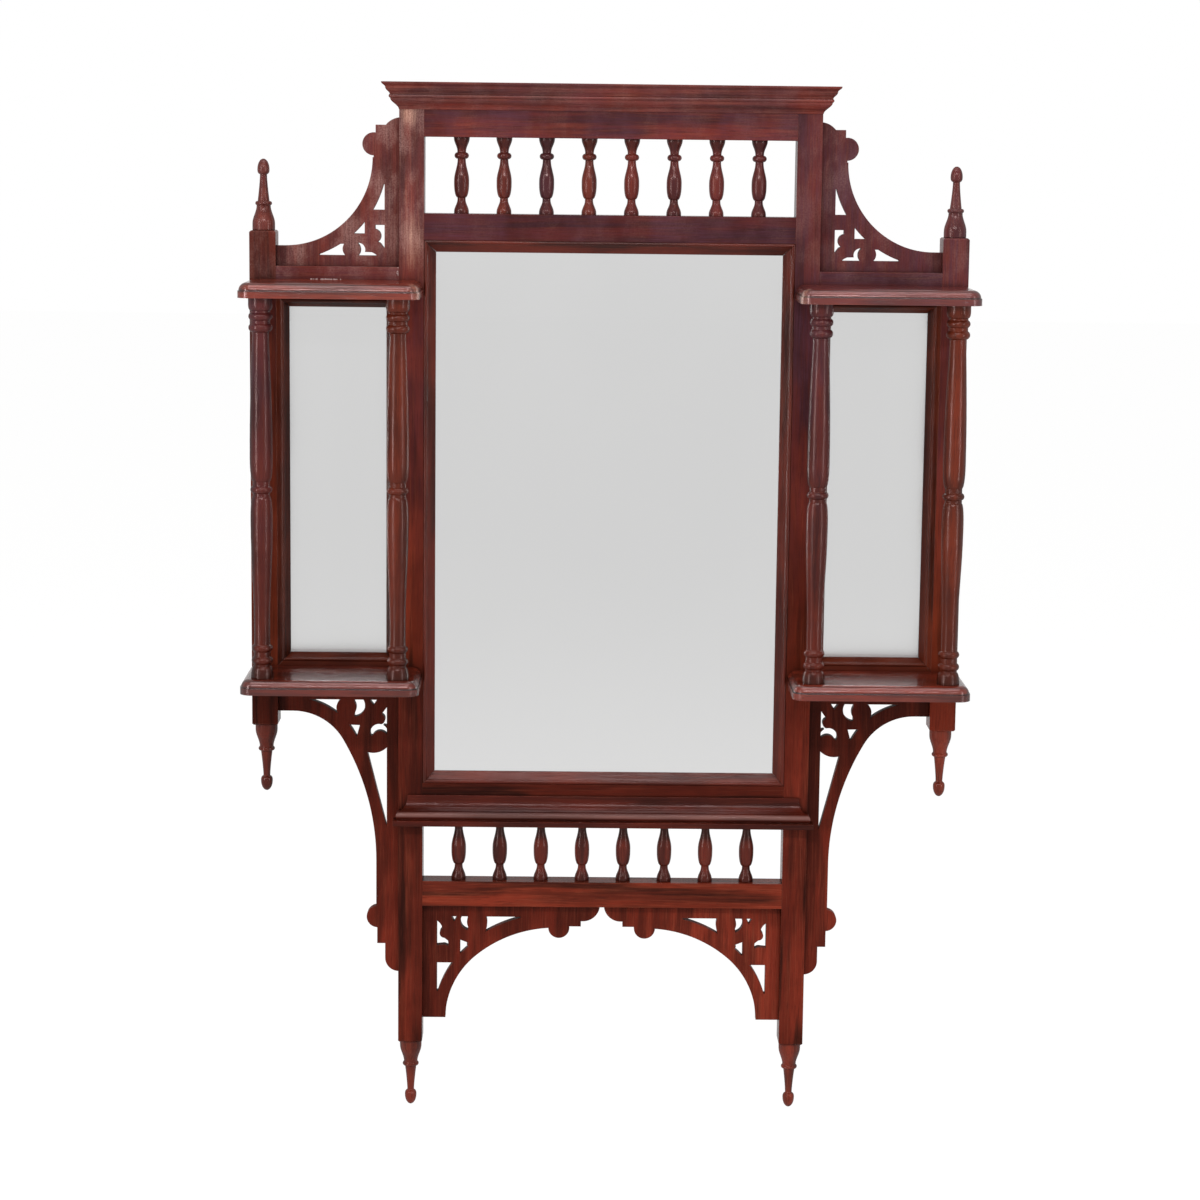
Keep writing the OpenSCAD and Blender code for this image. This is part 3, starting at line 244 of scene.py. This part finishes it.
    # Painted shade and grime: darker where ambient occlusion finds the surface closed in, in corners and
    # creases.
    open_sky = s.add("ShaderNodeAmbientOcclusion", {"Distance": SHADE_AND_GRIME_REACH}, samples=6).outputs["AO"]
    grime_and_shade = s.ramp(open_sky, 0.80, 0.35)
    colour = s.mix(s.times(grime_and_shade, grime_and_shade_share), colour, SOOT_AND_SHADE)

    # Painted lines: shade in grooves and where parts meet, and highlights on crests.
    for level, half, strength, shade in painted_lines:
        off = s.math("ABSOLUTE", s.math("SUBTRACT", height, level))
        mark = s.times(s.ramp(off, half, half / 3), s.ramp(broad, 0.36, 0.56, 0.55, 1.0))
        colour = s.mix(s.times(mark, strength), colour, shade)

    for x, y, z, radius, strength in worn:
        far = s.add("ShaderNodeVectorMath", {0: s.scaled(where, 1, 1, 0.6), 1: (x, y, 0.6 * z)},
                    operation="DISTANCE").outputs["Value"]
        ragged = s.times(s.ramp(speck, 0.34, 0.62, 0.5, 1.0), s.ramp(fine, 0.40, 0.60, 0.35, 1.0))
        bare = s.times(s.ramp(far, radius, 0.0), ragged)
        colour = s.mix(s.times(bare, strength), colour, BARE)

    shine = s.math("ADD", s.ramp(fine, 0.3, 0.7, rough - 0.05, rough + 0.07),
                   s.times(dusty, 0.2))
    relief = s.math("SUBTRACT", s.times(fine, 0.5), s.times(dark_pore, 0.5))
    bump = s.add("ShaderNodeBump", {"Height": relief, "Normal": round_normal, "Distance": relief_depth,
                                    "Strength": 0.5}).outputs[0]
    skin = s.add("ShaderNodeBsdfPrincipled", {
        "Base Color": colour, "Roughness": shine, "IOR": 1.5,
        "Specular IOR Level": s.ramp(s.facing(), 0.30, 0.72, gloss, gloss * rim),
        "Specular Tint": tint, "Normal": bump})
    return s.finished(skin)


def mirror_glass():
    """Silvered glass: mostly hazy face on, and a clear reflection at a glancing angle."""
    s = Shader("mirror_glass")
    where = s.where()
    haze = s.noise(where, 6.0, 3.0, 0.5)
    silver = s.mix(haze, rgb(0.640, 0.640, 0.640), rgb(0.648, 0.648, 0.647))
    sharp = s.add("ShaderNodeBsdfPrincipled", {"Base Color": silver, "Metallic": 1.0,
                                               "Roughness": s.ramp(haze, 0.3, 0.7, 0.004, 0.012)})
    soft = s.add("ShaderNodeBsdfPrincipled", {"Base Color": silver, "Metallic": 1.0,
                                              "Roughness": s.ramp(haze, 0.3, 0.7, 0.15, 0.18)})
    share = s.ramp(s.facing(), 0.07, 0.30, 0.12, 1.0)
    both = s.add("ShaderNodeMixShader", {0: share, 1: soft.outputs[0], 2: sharp.outputs[0]})
    return s.finished(both)


def plywood():
    """Thin plywood: pale face grain, and layers on the edges."""
    s = Shader("plywood")
    where = s.where()
    grain = s.noise(s.scaled(where, 1, 1, 0.05), 210.0, 4.0, 0.6, 0.4)
    fine = s.noise(s.scaled(where, 1, 1, 0.03), 1300.0, 3.0, 0.6)
    face = s.mix(s.ramp(grain, 0.3, 0.7), rgb(0.42, 0.26, 0.13), rgb(0.60, 0.42, 0.24))
    face = s.mix(s.times(s.ramp(fine, 0.5, 0.7), 0.35), face, rgb(0.26, 0.15, 0.07))
    depth = s.split(where)[1]
    layer = s.math("SINE", s.times(depth, 4700.0))
    side = s.mix(s.ramp(layer, -0.2, 0.2), rgb(0.22, 0.12, 0.055), rgb(0.55, 0.38, 0.21))
    outward = s.split(s.add("ShaderNodeNewGeometry").outputs["Normal"])[1]
    colour = s.mix(s.ramp(s.math("ABSOLUTE", outward), 0.5, 0.7), side, face)
    bump = s.add("ShaderNodeBump", {"Height": fine, "Distance": 0.0001, "Strength": 0.5}).outputs[0]
    skin = s.add("ShaderNodeBsdfPrincipled", {"Base Color": colour, "Normal": bump,
                                              "Roughness": s.ramp(grain, 0.3, 0.7, 0.62, 0.78)})
    return s.finished(skin)


def steel():
    """Zinc plated steel with fine brushing and a few dull spots."""
    s = Shader("steel")
    where = s.where()
    brush = s.noise(s.scaled(where, 1, 1, 0.08), 2600.0, 3.0, 0.6)
    spots = s.noise(where, 420.0, 4.0, 0.6)
    colour = s.mix(s.ramp(spots, 0.45, 0.7), rgb(0.56, 0.56, 0.57), rgb(0.34, 0.33, 0.31))
    shine = s.math("ADD", s.ramp(brush, 0.3, 0.7, 0.24, 0.36), s.ramp(spots, 0.5, 0.7, 0.0, 0.2))
    bump = s.add("ShaderNodeBump", {"Height": brush, "Distance": 0.00005, "Strength": 0.4}).outputs[0]
    skin = s.add("ShaderNodeBsdfPrincipled", {"Base Color": colour, "Metallic": 1.0, "Roughness": shine,
                                              "Normal": bump})
    return s.finished(skin)


# Bare spots: on the left stile near its top and above the shelf, and on the inner front corners of the upper
# shelves. Each is (x, y, z, radius, strength).
WORN_SPOTS = [(-0.202, -0.03, 0.029, 0.011, 0.85), (-0.198, -0.03, -0.100, 0.013, 0.40),
              (-0.199, -0.03, -0.086, 0.012, 0.40), (-0.200, -0.03, -0.116, 0.010, 0.35)]
SHELF_ENDS = [(-0.1885, -0.108, -0.149, 0.017, 0.95), (0.1885, -0.110, -0.147, 0.014, 0.70)]


def ring_of(name):
    """What ring_mask needs of a moulding: (x, half width, z, half height), with x always to the right."""
    low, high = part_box(name)
    low_x, high_x = (low.x, high.x) if low.x * high.x < 0 else sorted((abs(low.x), abs(high.x)))
    middle = (low_x + high_x) / 2
    return middle, high_x - middle, (low.z + high.z) / 2, (high.z - low.z) / 2


def shelf_shade_lines():
    """Painted shade in the groove below the nose and along the top of it, on the upper and the lower shelves.
    """
    found = []
    for name in ("left_upper_shelf", "left_lower_shelf"):
        low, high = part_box(name)
        found += [(low.z + 0.0072, 0.0012, 0.95, SOOT_AND_SHADE), (high.z - 0.0016, 0.0010, 0.45, SOOT_AND_SHADE)]
    return found


LEDGE_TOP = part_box("ledge")[1].z
# A painted highlight on the crest of the ledge's bead, and painted shade where its cove meets the bead.
LEDGE_HIGHLIGHT_AND_SHADE = [(LEDGE_TOP - 0.0185, 0.0030, 0.38, DUST_AND_HIGHLIGHT), (LEDGE_TOP - 0.0145, 0.0014, 0.20, SOOT_AND_SHADE)]
# Painted shade on turned pieces where they meet other parts: spindle tops, spindle feet and column feet.
TURNED_SHADE = [(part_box("mirror_bottom_rail")[0].z - 0.003, 0.018, 0.75, SOOT_AND_SHADE),
                (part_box("lower_rail")[1].z + 0.002, 0.011, 0.50, SOOT_AND_SHADE),
                (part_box("top_rail")[0].z - 0.002, 0.015, 0.55, SOOT_AND_SHADE),
                (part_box("left_lower_shelf")[1].z + 0.002, 0.012, 0.60, SOOT_AND_SHADE)]
SHEEN, VARNISH, CLEAR = rgb(0.62, 0.45, 0.42), rgb(0.85, 0.62, 0.60), rgb(0.98, 0.72, 0.72)
MATERIALS = {
    "rail": wood("frame_wood_level", "X", 0.22, 0.10, SHEEN, 0.9),
    "upright": wood("frame_wood_upright", "Z", 0.22, 0.09, SHEEN, 1.0, worn=WORN_SPOTS),
    "bracket": wood("fretted_wood", "Z", 0.30, 0.10, SHEEN, 0.22, 0.50, rim=0.05, low_at=(-0.78, -0.64)),
    "cornice": wood("cornice_wood", "X", 0.24, 0.26, VARNISH, 0.75, 0.50),
    "ledge": wood("ledge_wood", "X", 0.15, 0.13, CLEAR, 0.5, 0.36, painted_lines=LEDGE_HIGHLIGHT_AND_SHADE),
    "shelf": wood("shelf_wood", "X", 0.14, 0.58, CLEAR, 0.7, worn=SHELF_ENDS, painted_lines=shelf_shade_lines(),
                  relief_depth=0.00016),
    "moulding": wood("moulding_wood", "X", 0.20, 0.24, VARNISH, 0.8, 0.50, ring=ring_of("main_moulding")),
    "side_moulding": wood("side_moulding_wood", "X", 0.20, 0.22, VARNISH, 0.8, 0.50,
                          ring=ring_of("right_moulding")),
    "turned": wood("turned_wood", "Z", 0.17, 0.24, VARNISH, 0.6, 0.50, rim=0.06, painted_lines=TURNED_SHADE),
    "glass": mirror_glass(),
    "ply": plywood(),
    "steel": steel(),
}


# ---------------------------------------------------------------- smooth, welded surfaces

WELD, SHARP_ANGLE = 0.000004, math.radians(28)


def smoothing(angle):
    """Geometry nodes: weld the split corners, then shade smooth up to an angle."""
    group = bpy.data.node_groups.new("smooth_by_angle", "GeometryNodeTree")
    group.interface.new_socket("Geometry", in_out="INPUT", socket_type="NodeSocketGeometry")
    group.interface.new_socket("Geometry", in_out="OUTPUT", socket_type="NodeSocketGeometry")
    new = group.nodes.new
    link = group.links.new
    first, last = new("NodeGroupInput"), new("NodeGroupOutput")
    plain = new("GeometryNodeRemoveAttribute")
    plain.inputs["Name"].default_value = "custom_normal"
    weld = new("GeometryNodeMergeByDistance")
    weld.inputs["Distance"].default_value = WELD
    faces = new("GeometryNodeSetShadeSmooth")
    faces.domain = "FACE"
    edges = new("GeometryNodeSetShadeSmooth")
    edges.domain = "EDGE"
    corner = new("GeometryNodeInputMeshEdgeAngle")
    flat = new("FunctionNodeCompare")
    flat.data_type = "FLOAT"
    flat.operation = "LESS_THAN"
    flat.inputs[1].default_value = angle
    link(first.outputs[0], plain.inputs["Geometry"])
    link(plain.outputs[0], weld.inputs["Geometry"])
    link(weld.outputs[0], faces.inputs["Geometry"])
    link(faces.outputs[0], edges.inputs["Geometry"])
    link(corner.outputs["Unsigned Angle"], flat.inputs[0])
    link(flat.outputs[0], edges.inputs["Shade Smooth"])
    link(edges.outputs[0], last.inputs[0])
    return group


SMOOTH = smoothing(SHARP_ANGLE)


def material_key(name):
    if name in ("main_glass", "left_glass", "right_glass"):
        return "glass"
    if name == "backboards":
        return "ply"
    if name in ("hanger_plates", "board_screws", "shelf_screws"):
        return "steel"
    if "spindle" in name or "finial" in name or "column" in name:
        return "turned"
    if "bracket" in name:
        return "bracket"
    if "stile" in name or name.endswith("_post"):
        return "upright"
    if name == "main_moulding":
        return "moulding"
    if name.endswith("_moulding"):
        return "side_moulding"
    if "shelf" in name:
        return "shelf"
    return name if name in ("ledge", "cornice") else "rail"


# How light a piece is.
TONE = {"stile_left": 0.88, "stile_right": 0.56, "left_post": 0.50, "right_post": 0.74,
        "upper_gallery_rail": 0.35, "mirror_bottom_rail": 0.40, "lower_rail": 0.95,
        "cornice": 0.90, "ledge": 0.37, "main_moulding": 0.50, "left_moulding": 0.34, "right_moulding": 0.48,
        "left_upper_shelf": 0.95, "right_upper_shelf": 0.64,
        "left_lower_shelf": 0.52, "right_lower_shelf": 0.82,
        "left_column_outer": 0.40, "left_column_inner": 0.56, "right_column_inner": 0.48,
        "right_column_outer": 0.60, "left_upper_bracket": 0.70, "right_upper_bracket": 0.54,
        "left_lower_bracket": 0.46, "right_lower_bracket": 0.48,
        "center_bracket_left": 0.68, "center_bracket_right": 1.0,
        "left_top_rail": 0.75, "right_top_rail": 0.60,
        "upper_spindle_1": 0.75, "upper_spindle_2": 0.75, "upper_spindle_3": 0.45, "upper_spindle_4": 0.68,
        "upper_spindle_5": 0.62, "upper_spindle_6": 0.78, "upper_spindle_7": 0.62, "upper_spindle_8": 0.55,
        "lower_spindle_1": 0.55, "lower_spindle_2": 0.60, "lower_spindle_3": 0.60, "lower_spindle_4": 0.65,
        "lower_spindle_5": 0.60, "lower_spindle_6": 0.60, "lower_spindle_7": 0.60, "lower_spindle_8": 0.60,
        "left_top_finial": 0.68, "right_top_finial": 0.62,
        "left_drop_finial": 0.55, "right_drop_finial": 1.05,
        "foot_finial_left": 0.9, "foot_finial_right": 1.1}
# What the tone of an upright piece is multiplied by below the heights low_at of its wood.
LOW = {"left_post": 0.60, "right_post": 1.15, "stile_left": 0.85, "stile_right": 1.48,
       "left_lower_bracket": 1.75, "right_lower_bracket": 1.80}
# How dusty a piece is, above the heights DUST_RISE.
DUST = {"stile_left": 1.15, "stile_right": 0.30, "left_post": 0.55, "right_post": 0.40,
        "left_upper_bracket": 1.05, "right_upper_bracket": 0.45, "upper_gallery_rail": 0.12,
        "left_top_rail": 1.0, "right_top_rail": 0.45, "top_rail": 0.18, "cornice": 0.30,
        "left_top_finial": 0.2, "right_top_finial": 0.2, "left_upper_shelf": 0.12, "right_upper_shelf": 0.15}
# How much painted mauve sheen a piece has, above the heights PAINTED_SHEEN_RISE.
PAINTED_SHEEN = {"stile_left": 0.50, "stile_right": 0.75, "top_rail": 0.75, "upper_gallery_rail": 0.72,
         "left_upper_bracket": 0.50, "right_upper_bracket": 0.9, "left_top_rail": 0.75, "right_top_rail": 1.0,
         "right_post": 0.75, "left_post": 0.15, "left_top_finial": 0.25,
         "right_top_finial": 0.6, "cornice": 0.55, "left_column_outer": 0.65,
         "right_column_inner": 0.6, "upper_spindle_3": 0.60, "upper_spindle_8": 0.4, "upper_spindle_1": 0.25,
         "upper_spindle_2": 0.25, "upper_spindle_4": 0.20, "upper_spindle_5": 0.25, "upper_spindle_6": 0.3,
         "upper_spindle_7": 0.30, "right_upper_shelf": 0.45}
# How orange a piece is.
WARMTH = {"left_column_inner": 0.30, "right_column_outer": 0.35, "upper_spindle_4": 0.30, "stile_right": 0.20,
          "stile_left": 0.22, "lower_rail": 0.15, "left_post": 0.35, "right_post": 0.35, "cornice": 0.12,
          "left_moulding": 0.4, "right_moulding": 0.4,
          "left_lower_bracket": 0.15, "right_lower_bracket": 0.15,
          "center_bracket_left": 0.12, "center_bracket_right": 0.2, "right_drop_finial": 0.45,
          "foot_finial_left": 0.3, "foot_finial_right": 0.4, "left_drop_finial": 0.25,
          "upper_spindle_2": 0.2, "upper_spindle_7": 0.06}
# How dark the inner half of a stile is.
INNER = {"stile_left": 0.95, "stile_right": 0.55}
# The properties that the wood reads, each with its table and its value for a piece that isn't in it.
PROPERTIES = {"tone": (TONE, 0.8), "dust": (DUST, 0.0), "bloom": (PAINTED_SHEEN, 0.0), "warm": (WARMTH, 0.08),
              "inner": (INNER, 0.0), "low": (LOW, 1.0)}
FIRST_SEED, SEED_STEP = 0.11, 0.37

for index, name in enumerate(sorted(nodes)):
    piece = nodes[name]
    piece["seed"] = SEED_STEP * index + FIRST_SEED
    for key, (table, usual) in PROPERTIES.items():
        piece[key] = table.get(name, usual)
    piece.data.materials.clear()
    piece.data.materials.append(MATERIALS[material_key(name)])
    smooth = piece.modifiers.new("smooth", "NODES")
    smooth.node_group = SMOOTH


# ---------------------------------------------------------------- glue squeezed out behind the left shelf

def old_glue():
    """Dirty, pale, crumbly glue."""
    s = Shader("old_glue")
    where = s.where()
    crumbs = s.noise(where, 900.0, 4.0, 0.6)
    colour = s.mix(s.ramp(crumbs, 0.35, 0.65), rgb(0.26, 0.16, 0.15), rgb(0.56, 0.44, 0.42))
    bump = s.add("ShaderNodeBump", {"Height": crumbs, "Distance": 0.0002, "Strength": 0.8}).outputs[0]
    skin = s.add("ShaderNodeBsdfPrincipled", {"Base Color": colour, "Normal": bump,
                                              "Roughness": s.ramp(crumbs, 0.3, 0.7, 0.55, 0.8)})
    return s.finished(skin)


GLUE_PLACES, BARE_SHARE = 34, 0.40
# The row along the shelf, from its outer end, in metres.
GLUE_START, GLUE_END = 0.064, 0.104
# The last part of the row stands up the joint of the left stile instead.
CLIMB_FROM, CLIMB_SHARE, CLIMB_X = 0.85, 0.15, -0.2125


def chance_at(i):
    """A scattered number from 0 to 1 for each place in the row, the same on each run."""
    wobble = math.sin(12.9898 * i) * 43758.5453
    return wobble - math.floor(wobble)


def make_glue():
    """Flattened crumbs where the left upper shelf meets the wing rail, and up the joint of the stile."""
    low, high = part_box("left_upper_shelf")
    start, end = low.x + GLUE_START, low.x + GLUE_END
    bm = bmesh.new()
    for i in range(GLUE_PLACES):
        share = (i + 0.5) / GLUE_PLACES
        chance = chance_at(i)
        if chance < BARE_SHARE:
            continue
        size = 0.0002 + 0.00045 * chance
        spot = Vector((start + (end - start) * share, high.y - 0.0007, high.z + 0.0002))
        if share > CLIMB_FROM:
            spot.x = CLIMB_X - 0.001 * chance
            spot.z += 0.004 + 0.009 * (share - CLIMB_FROM) / CLIMB_SHARE
        blob = bmesh.ops.create_icosphere(bm, subdivisions=2, radius=size)["verts"]
        for vertex in blob:
            swell = 1.0 + 0.35 * math.sin(9100.0 * vertex.co.x + 3.0 * i) * math.cos(7300.0 * vertex.co.z)
            vertex.co = Vector((vertex.co.x * 1.7, vertex.co.y * 0.6, vertex.co.z * 0.8)) * swell + spot
    mesh = bpy.data.meshes.new("glue_line")
    bm.to_mesh(mesh)
    bm.free()
    mesh.shade_smooth()
    mesh.materials.append(old_glue())
    glue = bpy.data.objects.new("glue_line", mesh)
    scene.collection.objects.link(glue)
    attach(glue, "root")


make_glue()


# ---------------------------------------------------------------- floor, light, camera

FLOOR_REACH, FLOOR_GAP = 14.0, 0.006
# How much of the floor's look is plain white, and the strength of that white.
WHITE_SHARE, WHITE_STRENGTH = 0.84, 1.13
AMBIENT = 0.32


def floor_material():
    """Pale floor. Camera and reflections see it near white, and it keeps the shadow."""
    s = Shader("floor")
    matt = s.add("ShaderNodeBsdfDiffuse", {"Color": rgb(0.80, 0.80, 0.80)})
    white = s.add("ShaderNodeEmission", {"Color": rgb(1, 1, 1), "Strength": WHITE_STRENGTH})
    return s.finished(s.add("ShaderNodeMixShader", {0: s.times(s.seen(), WHITE_SHARE), 1: matt.outputs[0],
                                                    2: white.outputs[0]}))


def make_floor():
    size, z = FLOOR_REACH, start_low.z - FLOOR_GAP
    mesh = bpy.data.meshes.new("floor")
    corners = [(-size, -size, z), (size, -size, z), (size, size, z), (-size, size, z)]
    mesh.from_pydata(corners, [], [(0, 1, 2, 3)])
    floor = bpy.data.objects.new("floor", mesh)
    scene.collection.objects.link(floor)
    mesh.materials.append(floor_material())


def make_world():
    """Dim, nearly white light from all round, which the camera and reflections see as plain white."""
    s = Shader("studio", world=True)
    lit = s.add("ShaderNodeBackground", {"Color": rgb(1.0, 0.985, 0.97), "Strength": AMBIENT})
    white = s.add("ShaderNodeBackground", {"Color": rgb(1, 1, 1), "Strength": 1.0})
    scene.world = s.finished(s.add("ShaderNodeMixShader", {0: s.seen(), 1: lit.outputs[0],
                                                           2: white.outputs[0]}))


def lamp(name, place, target, size, size_y, power, tint):
    """A rectangular area lamp that faces its target."""
    data = bpy.data.lights.new(name, "AREA")
    data.shape = "RECTANGLE"
    data.size = size
    data.size_y = size_y
    data.energy = power
    data.color = tint
    lamp_object = bpy.data.objects.new(name, data)
    scene.collection.objects.link(lamp_object)
    aim = Vector(target) - Vector(place)
    lamp_object.rotation_euler = aim.to_track_quat("-Z", "Y").to_euler()
    lamp_object.location = place


# The photograph's camera, fitted to marked points. Angles in radians, with the pitch downwards.
YAW, PITCH, ROLL = 0.0111, 0.1538, 0.0116
CAMERA_PLACE = (-0.03941, -3.06111, 0.00887)
SENSOR_WIDTH, LENS = 36.0, 89.81


def make_camera():
    yaw, pitch, roll = YAW, PITCH, ROLL
    ahead = Vector((math.sin(yaw) * math.cos(pitch), math.cos(yaw) * math.cos(pitch), -math.sin(pitch)))
    right = Vector((math.cos(yaw), -math.sin(yaw), 0.0))
    up = right.cross(ahead)
    x_axis = math.cos(roll) * right + math.sin(roll) * up
    y_axis = -math.sin(roll) * right + math.cos(roll) * up
    matrix = Matrix((x_axis, y_axis, -ahead)).transposed().to_4x4()
    matrix.translation = Vector(CAMERA_PLACE)
    data = bpy.data.cameras.new("camera")
    data.sensor_width = SENSOR_WIDTH
    data.lens = LENS
    camera = bpy.data.objects.new("camera", data)
    camera.matrix_world = matrix
    scene.collection.objects.link(camera)
    scene.camera = camera


make_floor()
make_world()
# Name, place, target, width, height, power and colour.
lamp("left_strip", (-1.90, -1.6, 0.0), (0, 0, -0.25), 0.18, 1.8, 34.0, (1.0, 0.985, 0.97))
lamp("right_strip", (1.85, -1.6, -0.05), (0, 0, -0.25), 0.14, 1.8, 20.0, (1.0, 0.985, 0.975))
lamp("overhead", (-0.1, -1.0, 1.35), (0, -0.05, -0.35), 1.7, 0.14, 12.0, (0.98, 0.98, 1.0))
lamp("front_strip", (-0.1, -2.3, 0.95), (0, 0, -0.45), 1.6, 0.12, 28.0, (1.0, 0.985, 0.98))
lamp("top_strip", (0.0, -0.30, 1.30), (0, -0.05, -0.5), 1.5, 0.25, 8.0, (1.0, 0.985, 0.98))
make_camera()
scene.view_settings.view_transform = "Standard"
